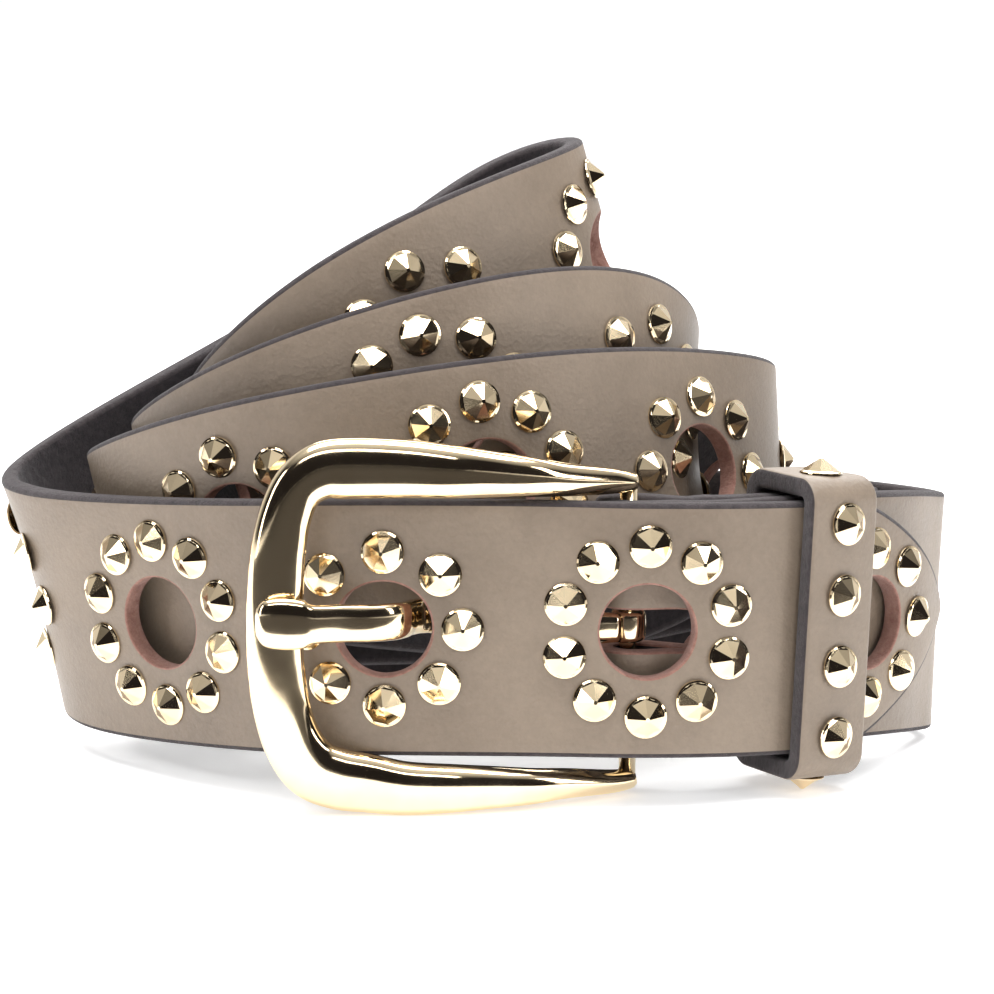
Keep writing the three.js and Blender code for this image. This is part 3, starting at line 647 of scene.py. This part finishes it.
def buckle():
    rows = smooth_rows(FRAME_ROWS, 8)
    height = STRAP_MIDDLE_Z + rows[:, 2] * STRAP_WIDTH / 2 + rows[:, 3]
    centre = np.column_stack([BAR_X + rows[:, 0], rows[:, 1], height])
    t = unit(np.gradient(centre, axis=0))
    forward = np.array([0, -1.0, 0])
    across = unit(np.cross(t, forward))
    front = unit(np.cross(across, t))
    a = np.linspace(0, 2 * math.pi, 36, endpoint=False)
    x, y = np.cos(a), np.sin(a)
    y = np.where(y > 0, np.sign(y) * abs(y) ** 0.92, -0.9 * abs(y) ** 0.6)
    x = np.sign(x) * abs(x) ** 0.86
    points = (centre[:, None] + across[:, None] * (x * 0.5)[None, :, None] * rows[:, 4][:, None, None]
              + front[:, None] * (y * 0.5)[None, :, None] * rows[:, 5][:, None, None])
    sections, count = len(rows), len(a)
    points = points.reshape(-1, 3)
    faces = loft_faces(sections, count)
    start = len(points)
    bar = bar_points(BAR_X, BAR_Y, height[0], height[-1], BAR_RADIUS)
    faces += [tuple(start + i for i in f) for f in loft_faces(2, 32)]
    return new_object("buckle_body", np.vstack([points, bar]), faces, [GOLD])


def prong():
    rows = smooth_rows(PRONG, 8)
    keep = rows[:, 0] < -0.2
    rows = rows[keep]
    centre = np.column_stack([BAR_X + rows[:, 0], rows[:, 1], PRONG_Z + rows[:, 2]])
    t = unit(np.gradient(centre, axis=0))
    up = np.array([0, 0, 1.0])
    across = unit(np.cross(t, up))
    a = np.linspace(0, 2 * math.pi, 32, endpoint=False)
    x = np.sign(np.cos(a)) * abs(np.cos(a)) ** 0.75
    y = np.sign(np.sin(a)) * abs(np.sin(a)) ** 0.75
    points = (centre[:, None] + across[:, None] * (x * 0.5)[None, :, None] * rows[:, 4][:, None, None]
              + up * (y * 0.5)[None, :, None] * rows[:, 3][:, None, None]).reshape(-1, 3)
    faces = loft_faces(len(rows), 32)
    # the curl: a ring around the hinge bar
    profile = []
    outer, inner, half = CURL_RADIUS, BAR_RADIUS + GAP, CURL_WIDTH / 2
    for b in np.linspace(0, math.pi / 2, 5):
        profile.append((outer - 0.9 + 0.9 * math.cos(b), half - 0.9 + 0.9 * math.sin(b)))
    profile += [(inner, half), (inner, -half)]
    profile += [(r, -z) for r, z in reversed(profile[:5])]
    start = len(points)
    angles = np.linspace(0, 2 * math.pi, 40, endpoint=False)
    curl = np.array([
        (BAR_X + r * math.cos(q), BAR_Y + r * math.sin(q), PRONG_Z + z)
        for q in angles for r, z in profile])
    faces += [tuple(start + i for i in f) for f in loft_faces(40, len(profile), closed=True)]
    return new_object("prong_tongue", np.vstack([points, curl]), faces, [GOLD])


def keeper():
    """Band of leather around the layers, its section swept round a rounded rectangle."""
    top = STRAP_WIDTH / 2 + KEEPER_EDGE_GAP
    front = HALF_T + KEEPER_GAP
    back = -KEEPER_BACK
    corner = 0.9
    section = []
    half, depth, r = KEEPER_WIDTH / 2, KEEPER_THICKNESS, 0.7
    corners = [(half - r, depth - r, 0.0), (-half + r, depth - r, math.pi / 2),
               (-half + r, r, math.pi), (half - r, r, 1.5 * math.pi)]
    for cx, cy, a0 in corners:
        for a in np.linspace(a0, a0 + math.pi / 2, 5):
            section.append((cx + r * math.cos(a), cy + r * math.sin(a)))
    section = np.array(section)
    rounds = []
    turns = ((top, front, 0.0), (-top, front, math.pi / 2),
             (-top, back, math.pi), (top, back, 1.5 * math.pi))
    for cx, cy, a0 in turns:
        sh, so = np.sign(cx), (1 if cy == front else -1)
        for a in np.linspace(a0, a0 + math.pi / 2, 11):
            rounds.append((cx - sh * corner, cy - so * corner, math.cos(a), math.sin(a)))
    rounds = np.array(rounds)
    path = []
    for i in range(len(rounds)):
        here, after = rounds[i], rounds[(i + 1) % len(rounds)]
        path.append(here)
        gap = np.hypot(*(after[:2] - here[:2]))
        if gap > 1:
            steps = int(gap / 1.5)
            for f in np.linspace(0, 1, steps + 1, endpoint=False)[1:]:
                path.append(here * (1 - f) + after * f)
    path = np.array(path)
    points = []
    for h0, o0, ch, co in path:
        # the outer surface has a larger corner radius than the inner one
        for shift, out in section:
            reach = corner + out
            points.append(place(KEEPER_AT + shift, h0 + ch * reach, o0 + co * reach))
    points = np.array(points)
    count = len(section)
    faces = loft_faces(len(path), count, closed=True)
    kinds = []
    for f in faces:
        depths = [section[i % count][1] for i in f]
        kinds.append(0 if min(depths) > KEEPER_THICKNESS - 0.25 else (1 if max(depths) < 0.25 else 2))
    leathers = [KEEPER_GRAIN, FLESH, EDGE]
    return new_object("keeper_band", points, faces, leathers, kinds)


def keeper_stud_places():
    p, t, w, n = frame_at(KEEPER_AT)
    front = HALF_T + KEEPER_GAP
    found = [(p + w * k * KEEPER_STUD_PITCH + n * (front + KEEPER_THICKNESS + STUD_LIFT), t, w, n)
             for k in (1.5, 0.5, -0.5, -1.5)]
    middle = (front - KEEPER_BACK) / 2 + 2.6
    for side in (1, -1):
        reach = STRAP_WIDTH / 2 + KEEPER_EDGE_GAP + KEEPER_THICKNESS + STUD_LIFT
        centre = p + n * middle + w * side * reach
        found.append((centre, t, -n * side, w * side))
    return found


buckle_body = buckle()
prong_body = prong()
keeper_band = keeper()
keeper_studs = studs_object("studs_keeper", keeper_stud_places())
for obj in (strap, backs, buckle_body, prong_body, keeper_band):
    outward(obj)

nodes = sorted(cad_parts)
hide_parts("strap")
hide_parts("buckle_frame")
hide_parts("prong")
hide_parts("keeper_loop")
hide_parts(*[n for n in nodes if n.startswith("stud_ring")])
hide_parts(*[n for n in nodes if n.startswith("stud_keeper")])


# Stage, light and camera
def floor():
    m, tree_nodes, links, shader = node_material("floor_paper")
    coordinates = tree_nodes.new("ShaderNodeTexCoord").outputs["Object"]
    soft = noise(tree_nodes, links, coordinates, 3.0, 2.0)
    stops = [(0.3, (0.93, 0.93, 0.93)), (0.7, (0.95, 0.95, 0.95))]
    colour = ramp(tree_nodes, links, soft.outputs[0], stops)
    links.new(colour.outputs[0], shader.inputs["Base Color"])
    shader.inputs["Roughness"].default_value = 0.8
    shader.inputs["Emission Color"].default_value = (1, 1, 1, 1)
    shader.inputs["Emission Strength"].default_value = 0.45
    # flat paper from below the camera to far behind the belt, then up
    profile = [(-1.5, 0.0), (-0.4, 0.0), (0.4, 0.0), (2.0, 0.0), (3.6, 0.0)]
    for a in np.linspace(0, math.pi / 2, 12)[1:]:
        profile.append((3.6 + 0.8 * math.sin(a), 0.8 * (1 - math.cos(a))))
    profile.append((4.4, 3.0))
    points = [(x, y, z) for y, z in profile for x in (-4.0, 4.0)]
    faces = [(2 * i, 2 * i + 1, 2 * i + 3, 2 * i + 2) for i in range(len(profile) - 1)]
    mesh = bpy.data.meshes.new("floor")
    mesh.from_pydata(points, [], faces)
    mesh.materials.append(m)
    mesh.polygons.foreach_set("use_smooth", [True] * len(faces))
    obj = bpy.data.objects.new("floor", mesh)
    bpy.context.scene.collection.objects.link(obj)


def dark_card():
    """Black studio card lying in front of the belt. Only reflections show it."""
    m, _, _, shader = node_material("dark_card")
    shader.inputs["Base Color"].default_value = (0.012, 0.010, 0.010, 1)
    shader.inputs["Roughness"].default_value = 0.9
    mesh = bpy.data.meshes.new("dark_card")
    near, far, half, height = -1.4, -0.115, 0.5, 0.002
    corners = [(-half, near, height), (half, near, height), (half, far, height), (-half, far, height)]
    mesh.from_pydata(corners, [], [(0, 1, 2, 3)])
    mesh.materials.append(m)
    obj = bpy.data.objects.new("dark_card", mesh)
    bpy.context.scene.collection.objects.link(obj)
    obj.visible_camera = obj.visible_diffuse = obj.visible_shadow = False


def area_light(name, spot, target, size, power, colour=(1, 1, 1)):
    light = bpy.data.lights.new(name, "AREA")
    light.shape = "RECTANGLE"
    light.size, light.size_y = size
    light.energy = power
    light.color = colour
    obj = bpy.data.objects.new(name, light)
    bpy.context.scene.collection.objects.link(obj)
    obj.location = spot
    obj.rotation_euler = (Vector(target) - Vector(spot)).to_track_quat("-Z", "Y").to_euler()
    return obj


floor()
dark_card()
area_light("top", (0.0, -0.05, 0.75), (0, 0, 0.03), (0.9, 0.45), 9.0)
area_light("front_strip", (-0.12, -0.80, 0.62), (0, 0, 0.05), (0.9, 0.10), 2.2)
area_light("side_left", (-0.75, -0.35, 0.25), (0, 0, 0.05), (0.10, 0.5), 1.3)
area_light("side_right", (0.70, -0.40, 0.35), (0, 0, 0.05), (0.12, 0.5), 1.6)
area_light("back", (0.1, 0.65, 0.55), (0, 0, 0.05), (0.8, 0.4), 4.5)

# Studio surroundings: bright above and behind, dark where the camera stands
world = bpy.data.worlds.new("studio")
bpy.context.scene.world = world
world.use_nodes = True
sky_nodes, sky_links = world.node_tree.nodes, world.node_tree.links
background = sky_nodes["Background"]
direction = sky_nodes.new("ShaderNodeTexCoord").outputs["Generated"]
separate = sky_nodes.new("ShaderNodeSeparateXYZ")
sky_links.new(direction, separate.inputs[0])
behind = span(sky_nodes, sky_links, separate.outputs["Y"], 0.0, 0.5, 0.0, 1.0)
above = span(sky_nodes, sky_links, separate.outputs["Z"], 0.55, 0.85, 0.0, 1.0)
most = sky_nodes.new("ShaderNodeMath")
most.operation = "MAXIMUM"
sky_links.new(behind, most.inputs[0])
sky_links.new(above, most.inputs[1])
sky = ramp(sky_nodes, sky_links, most.outputs[0], [(0.0, (0.022, 0.02, 0.022)), (1.0, (1.0, 1.0, 1.0))])
sky_links.new(sky.outputs[0], background.inputs[0])
background.inputs[1].default_value = 0.85

CAMERA = {"elevation": 10.088, "distance": 530.838, "focal_px": 3644.478, "target_z": 46.642}
elevation = math.radians(CAMERA["elevation"])
target = np.array([0, 0, CAMERA["target_z"]]) + SHIFT
position = target - CAMERA["distance"] * np.array([0, math.cos(elevation), -math.sin(elevation)])
camera = bpy.data.cameras.new("camera")
camera.sensor_width = SENSOR_WIDTH
camera.sensor_fit = "HORIZONTAL"
camera.lens = CAMERA["focal_px"] / PHOTO_SIZE * SENSOR_WIDTH
camera.clip_start = 0.01
camera_object = bpy.data.objects.new("camera", camera)
bpy.context.scene.collection.objects.link(camera_object)
camera_object.location = position / MM_PER_METRE
camera_object.rotation_euler = (math.pi / 2 - elevation, 0, 0)
bpy.context.scene.camera = camera_object
bpy.context.scene.view_settings.view_transform = "Standard"
